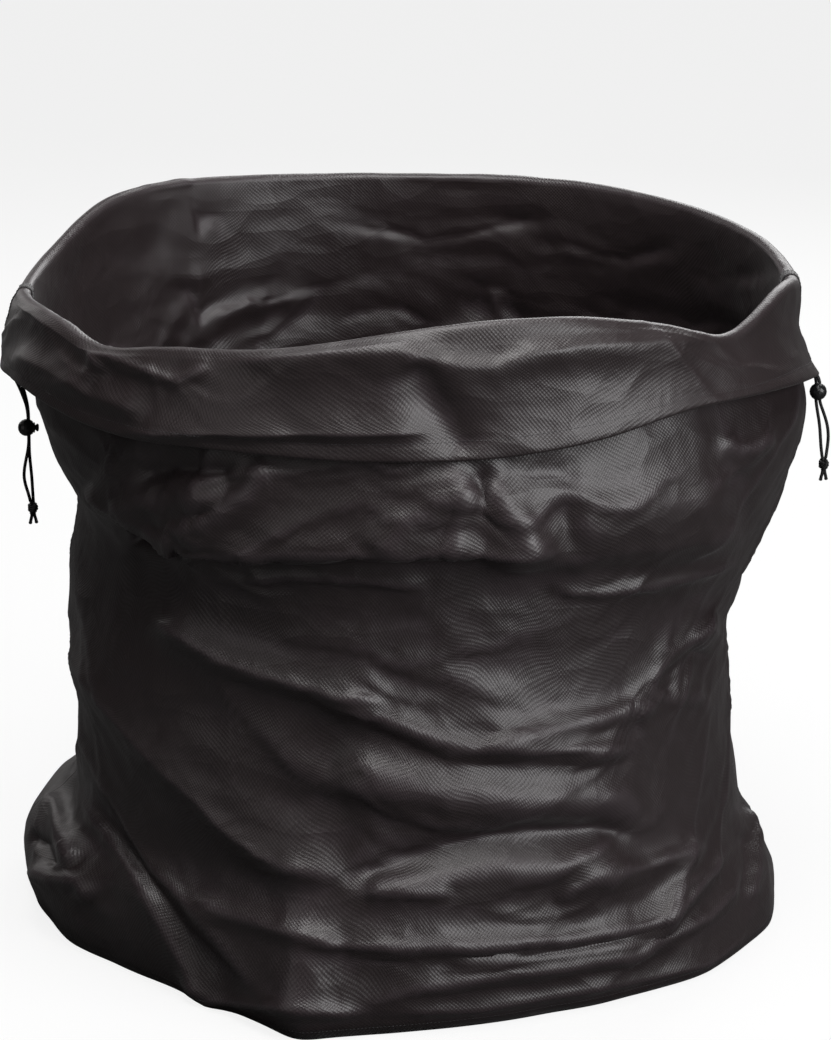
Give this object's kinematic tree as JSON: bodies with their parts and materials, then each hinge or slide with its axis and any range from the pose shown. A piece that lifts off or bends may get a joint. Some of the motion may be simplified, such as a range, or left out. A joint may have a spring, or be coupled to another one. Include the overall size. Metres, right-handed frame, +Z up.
{
  "type": "garden sack",
  "caption": "Frameless woven garden sack with a turned-down cuff, a drawcord in the cuff's hem and sliding ball cord locks at the sides.",
  "frame": {"origin": "middle of the sack's underside, on the surface it stands on", "axes": "+Z up through the mouth; -Y towards the viewer of the picture; +X to the viewer's right, through the two side seams"},
  "size_m": [0.814, 0.7868, 0.6754],
  "materials": {
    "cloth": "satin woven oxford cloth",
    "tape": "matte woven binding tape",
    "cord": "matte braid",
    "lock_plastic": "satin moulded",
    "spring_steel": "drawn wire"
  },
  "bodies": {
    "sack": {"front_panel": "cloth", "back_panel": "cloth", "base_panel": "cloth", "base_seam_tape": "tape", "left_seam_tape": "tape", "right_seam_tape": "tape", "front_drawcord": "cord", "back_drawcord": "cord", "left_front_leg": "cord", "left_back_leg": "cord", "right_front_leg": "cord", "right_back_leg": "cord", "left_knot": "cord", "right_knot": "cord"},
    "left_lock": {"left_lock_body": "lock_plastic", "left_lock_spring": "spring_steel"},
    "left_plunger": {"left_lock_plunger": "lock_plastic"},
    "right_lock": {"right_lock_body": "lock_plastic", "right_lock_spring": "spring_steel"},
    "right_plunger": {"right_lock_plunger": "lock_plastic"}
  },
  "joints": [
    {"name": "left_lock_slide", "type": "slide", "parent": "sack", "child": "left_lock", "axis": [-0.05, 0, 0.9987], "range_m": [-0.06, 0.04], "deforming": ["left_front_leg", "left_back_leg"]},
    {"name": "left_plunger_press", "type": "slide", "parent": "left_lock", "child": "left_plunger", "axis": [1, 0, 0], "range_m": [-0.003, 0], "stiffness_N_per_m": 500, "springref_m": 0.005, "deforming": ["left_lock_spring"]},
    {"name": "right_lock_slide", "type": "slide", "parent": "sack", "child": "right_lock", "axis": [-0.118, 0, 0.993], "range_m": [-0.055, 0.001], "deforming": ["right_front_leg", "right_back_leg"]},
    {"name": "right_plunger_press", "type": "slide", "parent": "right_lock", "child": "right_plunger", "axis": [0, 1, 0], "range_m": [-0.003, 0], "stiffness_N_per_m": 500, "springref_m": 0.005, "deforming": ["right_lock_spring"]}
  ]
}
